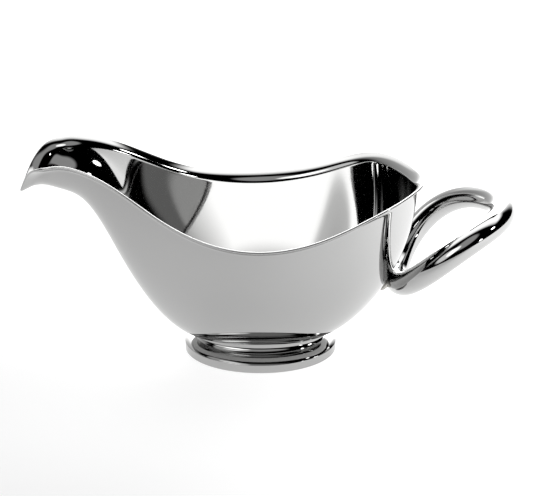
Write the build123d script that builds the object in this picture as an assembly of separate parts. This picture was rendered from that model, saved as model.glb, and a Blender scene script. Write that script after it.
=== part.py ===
from build123d import *
import math
import os
import numpy as np

# Gravy boat in polished stainless steel: a pressed sheet bowl with a drawn-out spout and a
# flared rim, standing on a hollow oval foot, with a ring of bent round tube as its handle.
# Millimetres. X runs from the spout (-) to the handle (+), Y across, Z up from the table.
# The bowl, foot and handle are symmetric about the plane Y = 0.

# ---- driving dimensions ----
SHEET = 1.2                # thickness of the bowl and foot metal
TIP_X = -110.5             # end of the wall at the spout, measured from the foot's centre
STERN_X = 74.5             # end of the wall at the handle side
FLOOR_Z = 8.2              # height of the bowl's flat underside
FLOOR_BLEND = 2.5          # height over which the round bottom turns into the flat floor
LIP_REACH = 2.8            # how far the rim flares outwards
LIP_DEPTH = 3.5            # height of the flared band below the rim
LIP_POWER = 2.2            # how tightly the flare is curled

# Lines of the bowl at stations between the spout's end (-1) and the stern (+1):
# station, half-width at the rim, height of the rim, depth of the bottom below the rim
STATIONS = (
    (-1.00, 18.0, 86.0, 5.0),
    (-0.97, 27.5, 95.0, 23.5),
    (-0.93, 36.5, 102.0, 30.5),
    (-0.87, 32.0, 105.0, 32.5),
    (-0.78, 28.5, 104.5, 34.0),
    (-0.65, 30.0, 99.0, 58.5),
    (-0.45, 35.0, 86.0, 76.0),
    (-0.20, 40.5, 76.5, 72.5),
    (0.10, 42.5, 75.5, 71.0),
    (0.40, 43.0, 82.0, 77.0),
    (0.65, 44.0, 89.5, 81.5),
    (0.85, 39.0, 91.5, 82.0),
    (1.00, 28.0, 90.5, 81.5),
)

SQUARENESS = 2.5           # corners of the cross-sections: 2 is an ellipse, more is squarer
TAPER = 0.3                # how much narrower they are at the bottom

LEVEL_POINTS = 72          # points around each level of the bowl
LEVEL_COUNT = 28           # levels between the rim and the flat floor
LEVEL_CROWDING = 1.3       # how much closer the levels lie near the rim
FLOOR_SHARE = 0.07         # size of the lowest level, as a share of the quarter turn
RIM_ROUND_STEPS = 4        # levels around the rounded edge of the rim

FOOT_LENGTH = 75.4         # along X, over the foot's edge
FOOT_WIDTH = 51.8          # along Y
FOOT_EDGE = 4.8            # height of the foot's upright edge
FOOT_HEM = 4.0             # width of the hem turned in under the foot
# Ovals of the foot above its edge: height, and distance in from the edge along X and along Y
FOOT_LEDGE = ((4.8, 0.0, 0.0), (5.9, 2.6, 3.1), (6.4, 6.2, 7.6))
FOOT_NECK = ((6.4, 6.2, 7.6), (7.3, 6.8, 8.9), (8.8, 7.1, 9.7), (11.0, 7.1, 9.9), (14.0, 7.0, 9.6))

TUBE_RADIUS = 6.0          # outside of the handle's tube
TUBE_WALL = 1.5
HANDLE_IN_X = 66.7         # centre line of the tube where it touches the bowl
HANDLE_OUT_X = 115.2       # centre line of the tube at the handle's far end
HANDLE_HALF_WIDTH = 26.3
HANDLE_SWELL = 0.16        # how much wider the ring is on the bowl's side
HANDLE_HEIGHTS = (39.3, 64.6, 75.2, 75.9)  # control heights of the centre line, inner end to outer
HANDLE_SECTIONS = 40       # sections along the bent tube
TUBE_POINTS = 24           # points around each of them
BUTT_GAP = 0.6             # gap between the two cut ends of the bent tube

BEAD_INSETS = (7.7, 10.4)  # outside of the braze bead under the bowl, within the neck's sheet
BEAD_WIDTH = 3.2           # its width, of which about half a sheet's thickness is in the neck
BEAD_HEIGHT = 1.0          # how far it reaches below the bowl
PAD_HALF_SIZES = (3.0, 9.0, 6.5)           # braze at the handle: off the wall, across, along it
PAD_SLOPE = 57.0           # lean of the bowl's wall behind the pad, in degrees from flat

CENTRE_SHIFT = -3.8        # moves the foot's centre so that the origin is at mid length


def smooth_curve(knots, values):
    """The natural cubic spline through the points (knots, values), as a function."""
    knots = np.array(knots)
    values = np.array(values)
    gaps = np.diff(knots)
    slopes = np.diff(values) / gaps
    count = len(knots)
    matrix = np.eye(count)
    right = np.zeros(count)
    for i in range(1, count - 1):
        matrix[i, i - 1:i + 2] = gaps[i - 1], 2 * (gaps[i - 1] + gaps[i]), gaps[i]
        right[i] = 6 * (slopes[i] - slopes[i - 1])
    bends = np.linalg.solve(matrix, right)

    def value(place):
        i = np.clip(np.searchsorted(knots, place) - 1, 0, count - 2)
        after = place - knots[i]
        before = knots[i + 1] - place
        span = gaps[i]
        line = (values[i] * before + values[i + 1] * after) / span
        bow_left = bends[i] * (before ** 3 / span - span * before) / 6
        bow_right = bends[i + 1] * (after ** 3 / span - span * after) / 6
        return line + bow_left + bow_right

    return value


PLACES, HALF_WIDTHS, RIM_HEIGHTS, DEPTHS = zip(*STATIONS)
half_width_at = smooth_curve(PLACES, HALF_WIDTHS)
rim_height_at = smooth_curve(PLACES, RIM_HEIGHTS)
depth_at = smooth_curve(PLACES, DEPTHS)


def along(station):
    """X of a station: -1 is the spout's end, 0 the foot's centre, +1 the stern."""
    return (STERN_X - TIP_X) / 2 * station + (STERN_X + TIP_X) / 2 * station ** 2


def outline(angle):
    """Plan of the wall's upper edge, before the lip flares: X and Y at an angle from the tip."""
    station = -np.cos(angle)
    return along(station), half_width_at(station) * np.sin(angle)


def lip_direction(angle):
    """Outward horizontal direction, square to the plan of the rim."""
    step = 1e-4
    x_after, y_after = outline(angle + step)
    x_before, y_before = outline(angle - step)
    run_x = x_after - x_before
    run_y = y_after - y_before
    length = np.hypot(run_x, run_y)
    return -run_y / length, run_x / length


def rest_on_floor(height):
    """Flattens everything below the floor, with a smooth blend."""
    above = height - FLOOR_Z
    blended = (above + FLOOR_BLEND) ** 2 / (4 * FLOOR_BLEND)
    bent = np.where(above > FLOOR_BLEND, above, blended)
    return FLOOR_Z + np.where(above < -FLOOR_BLEND, 0.0, bent)


def square_off(across, down):
    """Pushes a point of a round section outwards, to where a squarer section has it."""
    size = (np.abs(across) ** SQUARENESS + np.abs(down) ** SQUARENESS) ** (1 / SQUARENESS)
    stretch = np.hypot(across, down) / size
    return across * stretch, down * stretch


def outer_surface(angle, drop):
    """Outer face of the bowl. angle goes around from the tip, drop from 90 deg (rim) to 0 (bottom)."""
    station = -np.sin(drop) * np.cos(angle)
    across, down = square_off(np.sin(drop) * np.sin(angle), np.cos(drop))
    depth = depth_at(station) * down
    x = along(station)
    y = half_width_at(station) * across * (1 - TAPER * down)
    z = rest_on_floor(rim_height_at(station) - depth)
    flare = LIP_REACH * np.clip(1 - depth / LIP_DEPTH, 0, None) ** LIP_POWER
    out_x, out_y = lip_direction(angle)
    return np.stack([x + flare * out_x, y + flare * out_y, z], axis=-1)


def unit(vectors):
    return vectors / np.linalg.norm(vectors, axis=-1, keepdims=True)


def surface_frame(angle, drop):
    """Outward normal of the outer face, and the direction up the wall."""
    step = 1e-4
    around = outer_surface(angle + step, drop) - outer_surface(angle - step, drop)
    upwards = outer_surface(angle, drop + step) - outer_surface(angle, drop - step)
    normal = unit(np.cross(upwards, around))
    return normal, unit(np.cross(around, normal))


def level_angles():
    """Drop angles of the levels, from the rim down to the edge of the flat floor."""
    shares = (np.arange(LEVEL_COUNT + 1) / LEVEL_COUNT) ** LEVEL_CROWDING
    return math.pi / 2 * (1 - (1 - FLOOR_SHARE) * shares)


def closed_wire(points):
    """Smooth closed curve through the points, all of them evenly spaced in its parameter."""
    count = len(points)
    shares = [i / count for i in range(count + 1)]
    corners = [Vector(*map(float, point)) for point in points]
    return Wire([Edge.make_spline(corners, periodic=True, parameters=shares)])


def bowl_wires():
    """Closed curves of the outer wall, the rounded rim and the inner wall, each from the rim down."""
    angle = np.arange(LEVEL_POINTS) * 2 * math.pi / LEVEL_POINTS
    outer = []
    inner = []
    for drop in level_angles():
        points = outer_surface(angle, drop)
        normal, _ = surface_frame(angle, drop)
        outer.append(closed_wire(points))
        inner.append(closed_wire(points - SHEET * normal))
    edge = outer_surface(angle, math.pi / 2)
    normal, upwards = surface_frame(angle, math.pi / 2)
    middle = edge - SHEET / 2 * normal
    rim = [outer[0]]
    for step in range(1, RIM_ROUND_STEPS):
        turn = math.pi * step / RIM_ROUND_STEPS
        points = middle + SHEET / 2 * (math.cos(turn) * normal + math.sin(turn) * upwards)
        rim.append(closed_wire(points))
    rim.append(inner[0])
    return outer, rim, inner


def make_bowl():
    outer, rim, inner = bowl_wires()
    faces = []
    for wires in (outer, rim, inner):
        faces += Shell.make_loft(wires).faces()
    faces.append(Face(outer[-1]))
    faces.append(Face(inner[-1]))
    return Solid(Shell(faces))


def oval(height, inset_along, inset_across):
    """Closed level oval, its ends and its sides set in from the foot's edge."""
    plane = Plane.XY.offset(height)
    half_length = FOOT_LENGTH / 2 - inset_along
    return Wire([Edge.make_ellipse(half_length, FOOT_WIDTH / 2 - inset_across, plane)])


def oval_loft(profile):
    return Solid.make_loft([oval(*place) for place in profile])


def make_foot(bowl):
    """Pressed foot: upright edge, ledge and waisted neck, hollow and open below."""
    edge = oval_loft(((0.0, 0.0, 0.0), (FOOT_EDGE, 0.0, 0.0)))
    body = edge + oval_loft(FOOT_LEDGE) + oval_loft(FOOT_NECK)
    inner_ledge = [(height - SHEET, x + SHEET, y + SHEET) for height, x, y in FOOT_LEDGE]
    inner_neck = [(height, x + SHEET, y + SHEET) for height, x, y in FOOT_NECK]
    inner_neck[0] = inner_ledge[-1]
    hollow = oval_loft((inner_ledge[0], (SHEET, SHEET, SHEET)))
    hollow = hollow + oval_loft(inner_ledge) + oval_loft(inner_neck)
    opening = oval_loft(((-1.0, FOOT_HEM, FOOT_HEM), (SHEET, FOOT_HEM, FOOT_HEM)))
    cut = (body - hollow - opening) - bowl
    return cut.solids().sort_by(Axis.Z)[0]


def handle_point(turn):
    """Point of the handle's centre line; turn 0 is at the bowl, 180 deg at the far end."""
    share = (1 - math.cos(turn)) / 2
    x = HANDLE_IN_X + (HANDLE_OUT_X - HANDLE_IN_X) * share
    y = HANDLE_HALF_WIDTH * math.sin(turn) * (1 + HANDLE_SWELL * math.cos(turn))
    weights = [math.comb(3, k) * share ** k * (1 - share) ** (3 - k) for k in range(4)]
    z = sum(weight * height for weight, height in zip(weights, HANDLE_HEIGHTS))
    return np.array([x, y, z])


def tube_section(turn, radius):
    """Ring of points around the centre line, square to it."""
    step = 1e-4
    heading = unit(handle_point(turn + step) - handle_point(turn - step))
    side = unit(np.cross(heading, (0, 0, 1)))
    above = np.cross(side, heading)
    angle = np.arange(TUBE_POINTS)[:, None] * 2 * math.pi / TUBE_POINTS
    return handle_point(turn) + radius * (np.cos(angle) * side + np.sin(angle) * above)


def bent_tube(radius):
    """Solid round bar along the handle, from one butt end round to the other."""
    start = math.asin(BUTT_GAP / 2 / (HANDLE_HALF_WIDTH * (1 + HANDLE_SWELL)))
    wires = []
    for step in range(HANDLE_SECTIONS + 1):
        turn = start + (2 * math.pi - 2 * start) * step / HANDLE_SECTIONS
        wires.append(closed_wire(tube_section(turn, radius)))
    faces = list(Shell.make_loft(wires).faces())
    faces.append(Face(wires[0]))
    faces.append(Face(wires[-1]))
    return Solid(Shell(faces))


def make_handle(bowl):
    """Ring of bent tube, its two ends butted where it is let into the bowl's wall."""
    tube = bent_tube(TUBE_RADIUS) - bent_tube(TUBE_RADIUS - TUBE_WALL)
    return (tube - bowl).solids().sort_by(SortBy.VOLUME)[-1]


def make_foot_braze(bowl, foot):
    """Bead of braze in the corner between the foot's neck and the bowl's underside."""
    low = FOOT_LEDGE[-1][0]
    high = FOOT_NECK[-1][0]
    inner_insets = [inset + BEAD_WIDTH for inset in BEAD_INSETS]
    outside = oval_loft(((low, *BEAD_INSETS), (high, *BEAD_INSETS)))
    inside = oval_loft(((low, *inner_insets), (high, *inner_insets)))
    under_bowl = Pos(0, 0, -BEAD_HEIGHT) * bowl
    bead = ((outside - inside) & under_bowl) - bowl - foot
    return bead.solids().sort_by(SortBy.VOLUME)[-1]


def make_handle_braze(bowl, handle):
    """Pad of braze that fills the corner between the handle and the bowl's wall."""
    off_wall, across, up_wall = PAD_HALF_SIZES
    stretch = Matrix([[off_wall, 0, 0, 0], [0, across, 0, 0], [0, 0, up_wall, 0]])
    pad = Solid.make_sphere(1.0).transform_geometry(stretch)
    touch = Pos(HANDLE_IN_X - TUBE_RADIUS, 0, HANDLE_HEIGHTS[0])
    pad = touch * Rot(0, 90 - PAD_SLOPE, 0) * pad
    return (pad - bowl - handle).solids().sort_by(SortBy.VOLUME)[-1]


def main():
    os.makedirs("parts", exist_ok=True)
    bowl = make_bowl()
    foot = make_foot(bowl)
    handle = make_handle(bowl)
    parts = {
        "bowl": bowl,
        "foot_ring": foot,
        "handle": handle,
        "foot_braze": make_foot_braze(bowl, foot),
        "handle_braze": make_handle_braze(bowl, handle),
    }
    for name, solid in parts.items():
        export_step(Pos(CENTRE_SHIFT, 0, 0) * solid, f"parts/{name}.step")


main()
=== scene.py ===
import math

import bpy
import numpy as np
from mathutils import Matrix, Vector


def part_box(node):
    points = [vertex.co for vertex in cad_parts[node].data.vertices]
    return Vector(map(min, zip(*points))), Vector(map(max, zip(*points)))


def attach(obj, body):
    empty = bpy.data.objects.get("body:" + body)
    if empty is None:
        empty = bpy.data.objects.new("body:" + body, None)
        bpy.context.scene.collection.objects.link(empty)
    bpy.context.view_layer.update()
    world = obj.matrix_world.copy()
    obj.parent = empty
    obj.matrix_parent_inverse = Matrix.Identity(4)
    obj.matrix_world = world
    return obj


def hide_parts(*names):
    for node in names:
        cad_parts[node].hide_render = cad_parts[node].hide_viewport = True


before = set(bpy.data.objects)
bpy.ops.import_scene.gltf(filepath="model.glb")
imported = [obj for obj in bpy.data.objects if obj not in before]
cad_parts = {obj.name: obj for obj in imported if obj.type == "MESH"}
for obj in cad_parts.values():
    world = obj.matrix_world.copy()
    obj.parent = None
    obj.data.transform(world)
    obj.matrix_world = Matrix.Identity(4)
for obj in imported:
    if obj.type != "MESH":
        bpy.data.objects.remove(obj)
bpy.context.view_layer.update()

# A polished steel gravy boat on a pale floor. Metres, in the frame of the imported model:
# X runs from the spout (-) to the handle (+), Y across the boat, Z up from the table.

FINE_STEP = 1e-4           # radians either side of a point, to find a curve's direction there

# ---- bowl ----
SHEET = 0.0012             # thickness of the bowl and foot metal
TIP_X = -0.1105            # end of the wall at the spout, measured from the foot's centre
STERN_X = 0.0745           # end of the wall at the handle side
FLOOR_Z = 0.0082           # height of the bowl's flat underside
FLOOR_BLEND = 0.0025       # height over which the round bottom turns into the flat floor
LIP_REACH = 0.0028         # how far the rim flares outwards
LIP_DEPTH = 0.0035         # height of the flared band below the rim
LIP_POWER = 2.2            # how tightly the flare is curled

# Station from the spout's end (-1) to the stern (+1), half-width, height of the rim, depth
STATIONS = (
    (-1.00, 0.0180, 0.0860, 0.0050),
    (-0.97, 0.0275, 0.0950, 0.0235),
    (-0.93, 0.0365, 0.1020, 0.0305),
    (-0.87, 0.0320, 0.1050, 0.0325),
    (-0.78, 0.0285, 0.1045, 0.0340),
    (-0.65, 0.0300, 0.0990, 0.0585),
    (-0.45, 0.0350, 0.0860, 0.0760),
    (-0.20, 0.0405, 0.0765, 0.0725),
    (0.10, 0.0425, 0.0755, 0.0710),
    (0.40, 0.0430, 0.0820, 0.0770),
    (0.65, 0.0440, 0.0895, 0.0815),
    (0.85, 0.0390, 0.0915, 0.0820),
    (1.00, 0.0280, 0.0905, 0.0815),
)
SQUARENESS = 2.5           # corners of the cross-sections: 2 is an ellipse, more is squarer
TAPER = 0.3                # how much narrower they are at the bottom
BOWL_AROUND = 360          # mesh columns around the bowl
BOWL_LEVELS = 110          # mesh rows down each wall
LEVEL_CROWDING = 1.5       # how much closer the rows lie near the rim
RIM_STEPS = 10             # mesh rows over the rounded edge

# ---- foot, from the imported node's box ----
foot_low, foot_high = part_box("foot_ring")
FOOT_CENTRE_X = (foot_low.x + foot_high.x) / 2
FOOT_HALF_LENGTH = (foot_high.x - foot_low.x) / 2
FOOT_HALF_WIDTH = (foot_high.y - foot_low.y) / 2
FOOT_EDGE = 0.0048         # height of the foot's upright edge
FOOT_HEM = 0.0040          # width of the hem turned in under the foot
# Ovals of the foot above its edge: height, and distance in from the edge along X and along Y
FOOT_LEDGE = ((0.0048, 0.0, 0.0), (0.0059, 0.0026, 0.0031), (0.0064, 0.0062, 0.0076))
FOOT_NECK = (
    (0.0064, 0.0062, 0.0076),
    (0.0073, 0.0068, 0.0089),
    (0.0088, 0.0071, 0.0097),
    (0.0110, 0.0071, 0.0099),
    (0.0140, 0.0070, 0.0096),
)
FOOT_AROUND = 288
FOOT_ROUND = 0.0005        # radius of the foot's edges
NECK_STEPS = 24
LET_IN = 0.0005            # how far the neck goes into the bowl's metal
SEARCH_ROUNDS = 30         # halvings of the search for a height on the bowl
NECK_ROUNDS = 12           # rounds in which the neck's top settles on the bowl

# ---- handle ----
TUBE_RADIUS = 0.0060
HANDLE_IN_X = 0.0667
HANDLE_OUT_X = 0.1152
HANDLE_HALF_WIDTH = 0.0263
HANDLE_SWELL = 0.16        # how much wider the ring is on the bowl's side
HANDLE_HEIGHTS = (0.0393, 0.0646, 0.0752, 0.0759)  # control heights of the centre line
HANDLE_STEPS = 320
TUBE_AROUND = 64

# ---- camera ----
CAMERA_LIFT = math.radians(27.0)
CAMERA_DISTANCE = 0.650
CAMERA_AIM = Vector((-0.0008, 0.0, 0.0553))
CAMERA_LENS = 90.7         # millimetres, on a sensor 36 mm wide

# ---- studio: radiance by direction, and the painted light of the floor ----
BRIGHTEST = 6.0            # above every radiance of the backdrop and the ceiling
# Backdrop: degrees round from straight behind the boat, towards the handle's side, and radiance
BACKDROP = (
    (-104, 0.0), (-90, 0.4), (-70, 0.6), (-50, 0.85), (-40, 1.1), (-34, 1.6), (-29, 2.2), (-24.5, 2.6),
    (-22, 5.5), (17, 5.5), (23, 4.0), (30, 2.6), (34, 1.5), (38, 1.1), (42, 0.5), (47, 0.03), (52, 0.0),
)
CEILING = ((-0.10, 0.0), (-0.06, 0.5), (0.06, 1.7), (0.17, 2.3), (0.3, 2.4))  # by how far back
CEILING_EDGE = (0.62, 0.76)                # sines of the lifts over which it takes over
BEAM = (0.76, 0.05, 27.0)                  # dark beam where they meet: height, half depth, half turn
# Two small lamps at the right, two wide, dim ones at the left and one in front:
# turn, lift, radius, radiance
LAMPS = (
    (107.0, 31.0, 4.0, 14.0),
    (133.0, 9.0, 3.0, 10.0),
    (-139.0, 27.0, 18.0, 1.2),
    (-152.0, 35.0, 13.0, 1.8),
    (180.0, 48.0, 22.0, 0.5),
)
LAMP_SOFTNESS = 0.2        # share of a lamp's radius over which its edge fades, either way
FLOOR_SIZE = 12.0
FLOOR_GREY = (0.3, 0.3, 0.3, 1.0)
FLOOR_ROUGHNESS = 0.9
FLOOR_PAINTED_LIGHT_SIDE = (0.82, 0.57, 0.0)         # direction in which the floor glows more: painted light, brighter towards the right-back as if lit from there
# painted light: the floor's glow rises from low to high over this reach, as if light fell from the
# right-back
FLOOR_PAINTED_GLOW_REACH = 0.25
FLOOR_PAINTED_GLOW_LOW = 0.5
FLOOR_PAINTED_GLOW_HIGH = 1.38

# ---- grain of the steel: scales are multiples of the material's own grain ----
NOISE_MIDDLE = (0.3, 0.7)  # range that holds nearly all of a noise's values
TINT_SCALE = 1 / 8
WIPE_SCALE = 6
WIPE_STRETCH = (0.12, 1.0, 1.0)            # wipe marks run along the boat
CLOUD_SCALE = 1 / 3
CLOUD_LOW = 0.6            # share of the roughness in the glossiest patches


def smooth_curve(knots, values):
    """The natural cubic spline through the points (knots, values), as a function."""
    knots = np.array(knots)
    values = np.array(values)
    gaps = np.diff(knots)
    slopes = np.diff(values) / gaps
    count = len(knots)
    matrix = np.eye(count)
    right = np.zeros(count)
    for i in range(1, count - 1):
        matrix[i, i - 1:i + 2] = gaps[i - 1], 2 * (gaps[i - 1] + gaps[i]), gaps[i]
        right[i] = 6 * (slopes[i] - slopes[i - 1])
    bends = np.linalg.solve(matrix, right)

    def value(place):
        i = np.clip(np.searchsorted(knots, place) - 1, 0, count - 2)
        after = place - knots[i]
        before = knots[i + 1] - place
        span = gaps[i]
        line = (values[i] * before + values[i + 1] * after) / span
        bow_left = bends[i] * (before ** 3 / span - span * before) / 6
        bow_right = bends[i + 1] * (after ** 3 / span - span * after) / 6
        return line + bow_left + bow_right

    return value


PLACES, HALF_WIDTHS, RIM_HEIGHTS, DEPTHS = zip(*STATIONS)
half_width_at = smooth_curve(PLACES, HALF_WIDTHS)
rim_height_at = smooth_curve(PLACES, RIM_HEIGHTS)
depth_at = smooth_curve(PLACES, DEPTHS)
HALF_SPAN = (STERN_X - TIP_X) / 2
SPAN_SKEW = (STERN_X + TIP_X) / 2


def along(station):
    return HALF_SPAN * station + SPAN_SKEW * station ** 2 + FOOT_CENTRE_X


def outline(angle):
    station = -np.cos(angle)
    return along(station), half_width_at(station) * np.sin(angle)


def lip_direction(angle):
    """Outward horizontal direction, square to the plan of the rim."""
    x_after, y_after = outline(angle + FINE_STEP)
    x_before, y_before = outline(angle - FINE_STEP)
    run_x = x_after - x_before
    run_y = y_after - y_before
    length = np.hypot(run_x, run_y)
    return -run_y / length, run_x / length


def rest_on_floor(height):
    """Flattens everything below the bowl's floor, with a smooth blend."""
    above = height - FLOOR_Z
    blended = (above + FLOOR_BLEND) ** 2 / (4 * FLOOR_BLEND)
    bent = np.where(above > FLOOR_BLEND, above, blended)
    return FLOOR_Z + np.where(above < -FLOOR_BLEND, 0.0, bent)


def square_off(across, down):
    """Pushes a point of a round section outwards, to where a squarer section has it."""
    size = (np.abs(across) ** SQUARENESS + np.abs(down) ** SQUARENESS) ** (1 / SQUARENESS)
    stretch = np.hypot(across, down) / size
    return across * stretch, down * stretch


def outer_surface(angle, drop):
    """Outer face of the bowl. angle goes around from the tip, drop from 90 deg (rim) to 0 (bottom)."""
    station = -np.sin(drop) * np.cos(angle)
    across, down = square_off(np.sin(drop) * np.sin(angle), np.cos(drop))
    depth = depth_at(station) * down
    x = along(station)
    y = half_width_at(station) * across * (1 - TAPER * down)
    z = rest_on_floor(rim_height_at(station) - depth)
    flare = LIP_REACH * np.clip(1 - depth / LIP_DEPTH, 0, None) ** LIP_POWER
    out_x, out_y = lip_direction(angle)
    return np.stack([x + flare * out_x, y + flare * out_y, z], axis=-1)


def unit(vectors):
    return vectors / np.linalg.norm(vectors, axis=-1, keepdims=True)


def surface_frame(angle, drop):
    """Outward normal of the outer face, and the direction up the wall."""
    around = outer_surface(angle + FINE_STEP, drop) - outer_surface(angle - FINE_STEP, drop)
    upwards = outer_surface(angle, drop + FINE_STEP) - outer_surface(angle, drop - FINE_STEP)
    normal = unit(np.cross(upwards, around))
    return normal, unit(np.cross(around, normal))


def underside_height(x, y):
    """Height of the bowl's outer face at a place in plan."""
    reach = x - FOOT_CENTRE_X
    station = (-HALF_SPAN + np.sqrt(HALF_SPAN ** 2 + 4 * SPAN_SKEW * reach)) / (2 * SPAN_SKEW)
    reach_across = np.sqrt(1 - station ** 2)
    low = np.zeros_like(station)
    high = np.full_like(station, math.pi / 2)
    for _ in range(SEARCH_ROUNDS):
        middle = (low + high) / 2
        across, down = square_off(reach_across * np.sin(middle), reach_across * np.cos(middle))
        within = half_width_at(station) * across * (1 - TAPER * down) < np.abs(y)
        low = np.where(within, middle, low)
        high = np.where(within, high, middle)
    return rest_on_floor(rim_height_at(station) - depth_at(station) * down)


# ---- meshes ----
def grid_faces(rows, columns, closed_rows):
    """Quads of a grid whose columns close on themselves, and whose rows may."""
    row = np.arange(rows if closed_rows else rows - 1)
    column = np.arange(columns)
    first = row[:, None] * columns + column[None, :]
    next_column = row[:, None] * columns + (column[None, :] + 1) % columns
    next_row = (row[:, None] + 1) % rows * columns
    corner_three = next_row + (column[None, :] + 1) % columns
    corner_four = next_row + column[None, :]
    return np.stack([first, next_column, corner_three, corner_four], axis=-1).reshape(-1, 4).tolist()


def add_mesh(name, points, faces, material):
    mesh = bpy.data.meshes.new(name)
    mesh.from_pydata(points.tolist(), [], faces)
    mesh.materials.append(material)
    mesh.shade_smooth()
    mesh.update()
    piece = bpy.data.objects.new(name, mesh)
    bpy.context.scene.collection.objects.link(piece)
    return piece


def make_bowl(material):
    angle = np.arange(BOWL_AROUND) * 2 * math.pi / BOWL_AROUND
    shares = (np.arange(BOWL_LEVELS) / BOWL_LEVELS) ** LEVEL_CROWDING
    drops = math.pi / 2 * (1 - shares)
    outer = []
    inner = []
    for drop in drops:
        points = outer_surface(angle, drop)
        normal, _ = surface_frame(angle, drop)
        outer.append(points)
        inner.append(points - SHEET * normal)
    normal, upwards = surface_frame(angle, math.pi / 2)
    middle = outer[0] - SHEET / 2 * normal
    rim = []
    for step in range(1, RIM_STEPS):
        turn = math.pi * step / RIM_STEPS
        rim.append(middle + SHEET / 2 * (math.cos(turn) * normal + math.sin(turn) * upwards))
    rows = outer[::-1] + rim + inner
    bottom = outer_surface(np.zeros(1), 0.0)
    points = np.concatenate(rows + [bottom, bottom + [0.0, 0.0, SHEET]])
    faces = grid_faces(len(rows), BOWL_AROUND, False)
    outer_pole = len(points) - 2
    inner_pole = len(points) - 1
    last_row = (len(rows) - 1) * BOWL_AROUND
    for column in range(BOWL_AROUND):
        beside = (column + 1) % BOWL_AROUND
        faces.append([outer_pole, beside, column])
        faces.append([inner_pole, last_row + column, last_row + beside])
    return add_mesh("bowl_body", points, faces, material)


def oval_points(height, inset_along, inset_across):
    """Points around the foot, set in from its edge; each value is one number or one per point."""
    angle = np.arange(FOOT_AROUND) * 2 * math.pi / FOOT_AROUND
    x = FOOT_CENTRE_X + (FOOT_HALF_LENGTH - inset_along) * np.cos(angle)
    y = (FOOT_HALF_WIDTH - inset_across) * np.sin(angle)
    return np.stack([x, y, np.broadcast_to(height, x.shape)], axis=-1)


def neck_rows(thickness):
    """Rows up the waisted neck to the bowl; thickness 0 is its outside, SHEET its inside."""
    heights, insets_along, insets_across = zip(*FOOT_NECK)
    along_at = smooth_curve(heights, insets_along)
    across_at = smooth_curve(heights, insets_across)
    start = heights[0]
    top = np.full(FOOT_AROUND, heights[-2])
    for _ in range(NECK_ROUNDS):
        place = oval_points(0.0, along_at(top) + thickness, across_at(top) + thickness)
        top = underside_height(place[:, 0], place[:, 1]) + LET_IN
    rows = []
    for step in range(NECK_STEPS + 1):
        height = start + (top - start) * step / NECK_STEPS
        rows.append(oval_points(height, along_at(height) + thickness, across_at(height) + thickness))
    return rows


def corner(height, inset, start, end, steps=5):
    """Rows of a rounded edge about a centre, from one angle to another (0 is outwards, 90 up)."""
    rows = []
    for step in range(steps + 1):
        turn = math.radians(start + (end - start) * step / steps)
        rise = FOOT_ROUND * math.sin(turn)
        out = FOOT_ROUND * math.cos(turn)
        rows.append(oval_points(height + rise, inset - out, inset - out))
    return rows


def ledge_rows(thickness, steps=10):
    """Rows across the ledge, from the edge in; thickness as in neck_rows."""
    heights, insets_along, insets_across = zip(*FOOT_LEDGE)
    height_at = smooth_curve(insets_across, heights)
    along_at = smooth_curve(insets_across, insets_along)
    rows = []
    for step in range(1, steps):
        inset = insets_across[-1] * step / steps + FOOT_ROUND * (1 - step / steps)
        height = height_at(inset) - thickness
        rows.append(oval_points(height, along_at(inset) + thickness, inset + thickness))
    return rows


def make_foot(material):
    outside = corner(FOOT_ROUND, FOOT_ROUND, -90, 0) + corner(FOOT_EDGE - FOOT_ROUND, FOOT_ROUND, 0, 65)
    outside += ledge_rows(0.0) + neck_rows(0.0)
    inside = ledge_rows(SHEET) + neck_rows(SHEET)
    inside.insert(0, oval_points(FOOT_EDGE - SHEET, SHEET, SHEET))
    inside.insert(0, oval_points(SHEET, SHEET, SHEET))
    hem_profile = ((SHEET, FOOT_HEM - FOOT_ROUND), (SHEET - FOOT_ROUND, FOOT_HEM))
    hem_profile += ((FOOT_ROUND, FOOT_HEM), (0.0, FOOT_HEM - FOOT_ROUND))
    hem = [oval_points(height, inset, inset) for height, inset in hem_profile]
    rows = outside + inside[::-1] + hem
    points = np.concatenate(rows)
    return add_mesh("foot_body", points, grid_faces(len(rows), FOOT_AROUND, True), material)


def handle_point(turn):
    """Point of the handle's centre line; turn 0 is at the bowl, 180 deg at the far end."""
    share = (1 - math.cos(turn)) / 2
    x = HANDLE_IN_X + (HANDLE_OUT_X - HANDLE_IN_X) * share + FOOT_CENTRE_X
    y = HANDLE_HALF_WIDTH * math.sin(turn) * (1 + HANDLE_SWELL * math.cos(turn))
    weights = [math.comb(3, k) * share ** k * (1 - share) ** (3 - k) for k in range(4)]
    z = sum(weight * height for weight, height in zip(weights, HANDLE_HEIGHTS))
    return np.array([x, y, z])


def make_handle(material):
    angle = np.arange(TUBE_AROUND)[:, None] * 2 * math.pi / TUBE_AROUND
    rows = []
    for step in range(HANDLE_STEPS):
        turn = 2 * math.pi * step / HANDLE_STEPS
        heading = unit(handle_point(turn + FINE_STEP) - handle_point(turn - FINE_STEP))
        side = unit(np.cross(heading, (0, 0, 1)))
        above = np.cross(side, heading)
        rows.append(handle_point(turn) + TUBE_RADIUS * (np.cos(angle) * side + np.sin(angle) * above))
    faces = grid_faces(HANDLE_STEPS, TUBE_AROUND, True)
    return add_mesh("handle_tube", np.concatenate(rows), faces, material)


# ---- materials ----
def add_node(tree, kind, inputs=(), **settings):
    """Adds a node; inputs are numbers, vectors or the sockets that feed it, in order."""
    node = tree.nodes.new(kind)
    for name, value in settings.items():
        setattr(node, name, value)
    for socket, value in zip(node.inputs, inputs):
        if isinstance(value, bpy.types.NodeSocket):
            tree.links.new(value, socket)
        elif value is not None:
            socket.default_value = value
    return node


def noise(tree, place, scale, detail):
    node = tree.nodes.new("ShaderNodeTexNoise")
    node.inputs["Scale"].default_value = scale
    node.inputs["Detail"].default_value = detail
    tree.links.new(place, node.inputs["Vector"])
    return node.outputs["Fac"]


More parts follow.
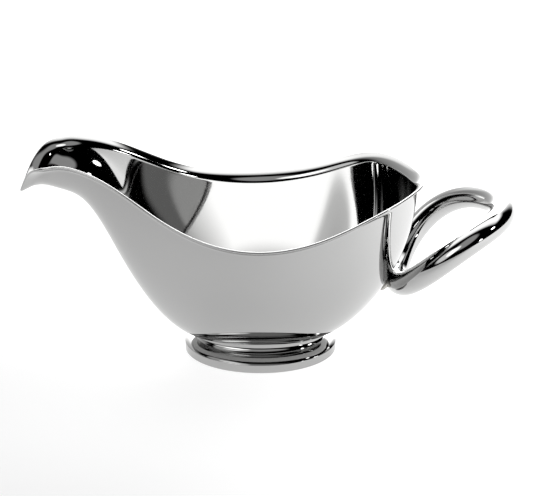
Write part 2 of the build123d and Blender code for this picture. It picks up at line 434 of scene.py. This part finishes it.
def spread(tree, value, low, high):
    """Spreads the middle of a noise over the range low to high."""
    node = add_node(tree, "ShaderNodeMapRange")
    from_low, from_high = NOISE_MIDDLE
    limits = {"From Min": from_low, "From Max": from_high, "To Min": low, "To Max": high}
    for name, number in limits.items():
        node.inputs[name].default_value = number
    tree.links.new(value, node.inputs["Value"])
    return node.outputs["Result"]


def steel(name, dark, light, roughness, wipe_marks, bump_height, grain):
    """Steel whose tint, gloss and surface all vary a little over its face."""
    material = bpy.data.materials.new(name)
    material.use_nodes = True
    tree = material.node_tree
    shader = tree.nodes["Principled BSDF"]
    shader.inputs["Metallic"].default_value = 1.0
    place = tree.nodes.new("ShaderNodeTexCoord").outputs["Object"]

    tint = add_node(tree, "ShaderNodeMix", data_type="RGBA")
    tree.links.new(noise(tree, place, grain * TINT_SCALE, 3), tint.inputs["Factor"])
    tint.inputs["A"].default_value = (*dark, 1.0)
    tint.inputs["B"].default_value = (*light, 1.0)
    tree.links.new(tint.outputs["Result"], shader.inputs["Base Color"])

    stretched = add_node(tree, "ShaderNodeMapping")
    stretched.inputs["Scale"].default_value = WIPE_STRETCH
    tree.links.new(place, stretched.inputs["Vector"])
    wiped = spread(tree, noise(tree, stretched.outputs["Vector"], grain * WIPE_SCALE, 4), 0.0, wipe_marks)
    clouds = noise(tree, place, grain * CLOUD_SCALE, 2)
    cloudy = spread(tree, clouds, CLOUD_LOW * roughness, roughness)
    gloss = add_node(tree, "ShaderNodeMath", (cloudy, wiped), operation="ADD")
    tree.links.new(gloss.outputs[0], shader.inputs["Roughness"])

    bump = tree.nodes.new("ShaderNodeBump")
    bump.inputs["Strength"].default_value = 1.0
    bump.inputs["Distance"].default_value = bump_height
    tree.links.new(noise(tree, place, grain, 2), bump.inputs["Height"])
    tree.links.new(bump.outputs["Normal"], shader.inputs["Normal"])
    return material


polished = steel(
    "polished_steel",
    dark=(0.41, 0.41, 0.41),
    light=(0.45, 0.45, 0.445),
    roughness=0.035,
    wipe_marks=0.02,
    bump_height=0.000004,
    grain=60.0,
)
brazed = steel(
    "braze_steel",
    dark=(0.33, 0.32, 0.30),
    light=(0.50, 0.49, 0.46),
    roughness=0.28,
    wipe_marks=0.1,
    bump_height=0.0001,
    grain=700.0,
)

bowl = make_bowl(polished)
foot = make_foot(polished)
handle = make_handle(polished)
for piece, node in ((bowl, "bowl"), (foot, "foot_ring"), (handle, "handle")):
    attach(piece, "root")
    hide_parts(node)
for node in ("foot_braze", "handle_braze"):
    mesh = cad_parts[node].data
    mesh.materials.clear()
    mesh.materials.append(brazed)


# ---- stage, light and camera ----
def make_floor():
    """Pale paper, lit from within so that it stays near white, with painted light that makes it a little
    brighter at the right, as if lit from the right-back.
    """
    bpy.ops.mesh.primitive_plane_add(size=FLOOR_SIZE, location=(0, 0, 0))
    floor = bpy.context.object
    floor.name = "floor"
    material = bpy.data.materials.new("floor_painted_light")
    material.use_nodes = True
    tree = material.node_tree
    shader = tree.nodes["Principled BSDF"]
    shader.inputs["Base Color"].default_value = FLOOR_GREY
    shader.inputs["Roughness"].default_value = FLOOR_ROUGHNESS
    shader.inputs["Specular IOR Level"].default_value = 0.0
    shader.inputs["Emission Color"].default_value = (1.0, 1.0, 1.0, 1.0)
    place = tree.nodes.new("ShaderNodeTexCoord").outputs["Object"]
    # painted light: the floor's emission grows towards the right-back, as if light fell there
    sides = (place, FLOOR_PAINTED_LIGHT_SIDE)
    painted_light_side = add_node(tree, "ShaderNodeVectorMath", sides, operation="DOT_PRODUCT")
    painted_glow = add_node(tree, "ShaderNodeMapRange", interpolation_type="SMOOTHSTEP")
    tree.links.new(painted_light_side.outputs["Value"], painted_glow.inputs["Value"])
    painted_glow.inputs["From Min"].default_value = -FLOOR_PAINTED_GLOW_REACH
    painted_glow.inputs["From Max"].default_value = FLOOR_PAINTED_GLOW_REACH
    painted_glow.inputs["To Min"].default_value = FLOOR_PAINTED_GLOW_LOW
    painted_glow.inputs["To Max"].default_value = FLOOR_PAINTED_GLOW_HIGH
    tree.links.new(painted_glow.outputs["Result"], shader.inputs["Emission Strength"])
    floor.data.materials.append(material)


def make_camera():
    camera_data = bpy.data.cameras.new("camera")
    camera_data.lens = CAMERA_LENS
    camera_data.sensor_width = 36.0
    camera = bpy.data.objects.new("camera", camera_data)
    offset = Vector((0, -math.cos(CAMERA_LIFT), math.sin(CAMERA_LIFT))) * CAMERA_DISTANCE
    camera.location = CAMERA_AIM + offset
    camera.rotation_euler = (math.pi / 2 - CAMERA_LIFT, 0, 0)
    bpy.context.scene.collection.objects.link(camera)
    bpy.context.scene.camera = camera


def curve_of(tree, value, low, high, stops):
    """Radiance that follows a value through a row of stops."""
    place = add_node(tree, "ShaderNodeMapRange")
    tree.links.new(value, place.inputs["Value"])
    place.inputs["From Min"].default_value = low
    place.inputs["From Max"].default_value = high
    ramp = tree.nodes.new("ShaderNodeValToRGB")
    tree.links.new(place.outputs["Result"], ramp.inputs["Fac"])
    elements = ramp.color_ramp.elements
    elements.remove(elements[0])
    for index, (at, radiance) in enumerate(stops):
        share = (at - low) / (high - low)
        element = elements[0] if index == 0 else elements.new(share)
        element.position = share
        element.color = (*[radiance / BRIGHTEST] * 3, 1.0)
    scaled = (ramp.outputs["Color"], BRIGHTEST)
    return add_node(tree, "ShaderNodeMath", scaled, operation="MULTIPLY").outputs[0]


def make_world():
    """A dark studio with a bright backdrop behind the boat, a soft ceiling over it and small lamps."""
    world = bpy.data.worlds.new("studio")
    world.use_nodes = True
    tree = world.node_tree

    def maths(operation, *inputs):
        return add_node(tree, "ShaderNodeMath", inputs, operation=operation).outputs[0]

    direction = tree.nodes.new("ShaderNodeTexCoord").outputs["Generated"]
    split = add_node(tree, "ShaderNodeSeparateXYZ", (direction,)).outputs
    turn = maths("DEGREES", maths("ARCTAN2", split["X"], split["Y"]))
    backdrop = curve_of(tree, turn, -180.0, 180.0, BACKDROP)
    ceiling = curve_of(tree, split["Y"], -1.0, 1.0, CEILING)
    upwards = add_node(tree, "ShaderNodeMapRange", interpolation_type="SMOOTHSTEP")
    tree.links.new(split["Z"], upwards.inputs["Value"])
    upwards.inputs["From Min"].default_value = CEILING_EDGE[0]
    upwards.inputs["From Max"].default_value = CEILING_EDGE[1]
    over = upwards.outputs["Result"]
    under = maths("SUBTRACT", 1.0, over)
    light = maths("ADD", maths("MULTIPLY", backdrop, under), maths("MULTIPLY", ceiling, over))

    beam_height, beam_half_depth, beam_half_turn = BEAM
    level_with_beam = maths("COMPARE", split["Z"], beam_height, beam_half_depth)
    beam = maths("MULTIPLY", level_with_beam, maths("COMPARE", turn, 0.0, beam_half_turn))
    light = maths("MULTIPLY", light, maths("SUBTRACT", 1.0, beam))

    for lamp_turn, lamp_lift, radius, radiance in LAMPS:
        aim = Vector((
            math.sin(math.radians(lamp_turn)) * math.cos(math.radians(lamp_lift)),
            math.cos(math.radians(lamp_turn)) * math.cos(math.radians(lamp_lift)),
            math.sin(math.radians(lamp_lift)),
        ))
        facing = add_node(tree, "ShaderNodeVectorMath", (direction, aim), operation="DOT_PRODUCT")
        lamp = add_node(tree, "ShaderNodeMapRange", interpolation_type="SMOOTHSTEP")
        tree.links.new(facing.outputs["Value"], lamp.inputs["Value"])
        lamp.inputs["From Min"].default_value = math.cos(math.radians(radius * (1 + LAMP_SOFTNESS)))
        lamp.inputs["From Max"].default_value = math.cos(math.radians(radius * (1 - LAMP_SOFTNESS)))
        lamp.inputs["To Max"].default_value = radiance
        light = maths("ADD", light, lamp.outputs["Result"])

    tree.links.new(light, tree.nodes["Background"].inputs["Strength"])
    tree.nodes["Background"].inputs["Color"].default_value = (1.0, 1.0, 1.0, 1.0)
    bpy.context.scene.world = world


make_floor()
make_camera()
make_world()
bpy.context.scene.view_settings.view_transform = "Standard"
